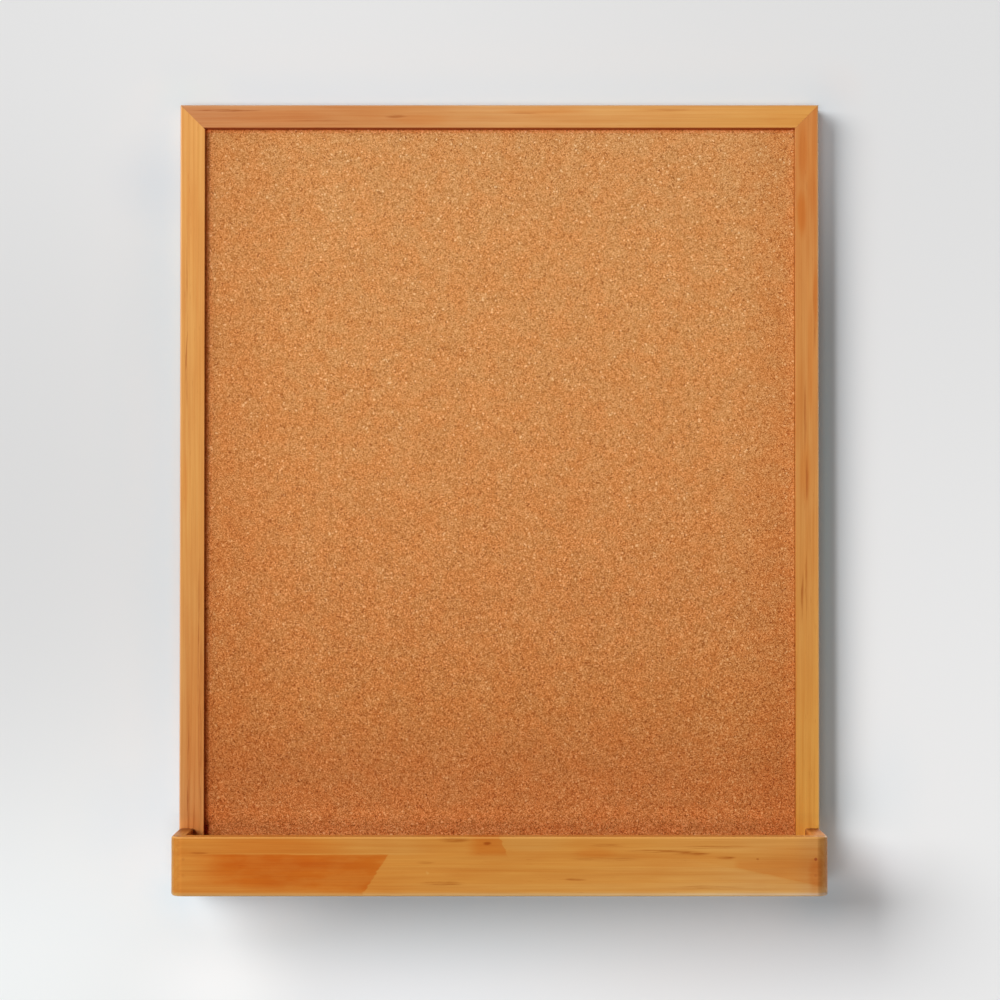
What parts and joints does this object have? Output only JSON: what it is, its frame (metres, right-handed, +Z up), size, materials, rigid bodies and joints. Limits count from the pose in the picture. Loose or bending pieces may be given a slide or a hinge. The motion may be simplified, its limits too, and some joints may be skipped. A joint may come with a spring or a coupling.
{
  "type": "memo board",
  "caption": "Wall-hung cork memo board in a mitred pine frame, with a full-width wooden tray with rounded corners across its foot.",
  "frame": {"origin": "on the wall plane, midway between the two hangers, level with the hangers' middle notches", "axes": "+X to the right as seen from the front, +Y back towards the wall, +Z up"},
  "size_m": [0.4572, 0.067, 0.5588],
  "materials": {
    "pine": "honey-stained pine under a satin clear coat",
    "cork": "fine granulated cork, matt",
    "fibreboard": "soft pressed fibreboard, raw",
    "hardboard": "brown hardboard, smooth face out",
    "steel": "zinc-plated steel",
    "brass_plate": "brass-plated steel",
    "felt": "brown felt"
  },
  "bodies": {
    "root": {"top_rail": "pine", "bottom_rail": "pine", "left_stile": "pine", "right_stile": "pine", "cork_sheet": "cork", "pin_core": "fibreboard", "back_panel": "hardboard", "tray_front": "pine", "tray_side_left": "pine", "tray_side_right": "pine", "tray_floor": "pine", "mitre_nail_top_left_1": "steel", "mitre_nail_top_left_2": "steel", "mitre_nail_top_right_1": "steel", "mitre_nail_top_right_2": "steel", "mitre_nail_bottom_left_1": "steel", "mitre_nail_bottom_left_2": "steel", "mitre_nail_bottom_right_1": "steel", "mitre_nail_bottom_right_2": "steel", "panel_point_top_1": "steel", "panel_point_top_2": "steel", "panel_point_bottom_1": "steel", "panel_point_bottom_2": "steel", "panel_point_left_1": "steel", "panel_point_left_2": "steel", "panel_point_left_3": "steel", "panel_point_right_1": "steel", "panel_point_right_2": "steel", "panel_point_right_3": "steel", "hanger_left": "brass_plate", "hanger_right": "brass_plate", "hanger_nail_left_1": "brass_plate", "hanger_nail_left_2": "brass_plate", "hanger_nail_right_1": "brass_plate", "hanger_nail_right_2": "brass_plate", "tray_screw_left_1": "steel", "tray_screw_left_2": "steel", "tray_screw_right_1": "steel", "tray_screw_right_2": "steel", "tray_screw_floor_1": "steel", "tray_screw_floor_2": "steel", "tray_screw_floor_3": "steel", "tray_brad_left_1": "steel", "tray_brad_left_2": "steel", "tray_brad_right_1": "steel", "tray_brad_right_2": "steel", "wall_pad_left": "felt", "wall_pad_right": "felt"}
  },
  "joints": []
}
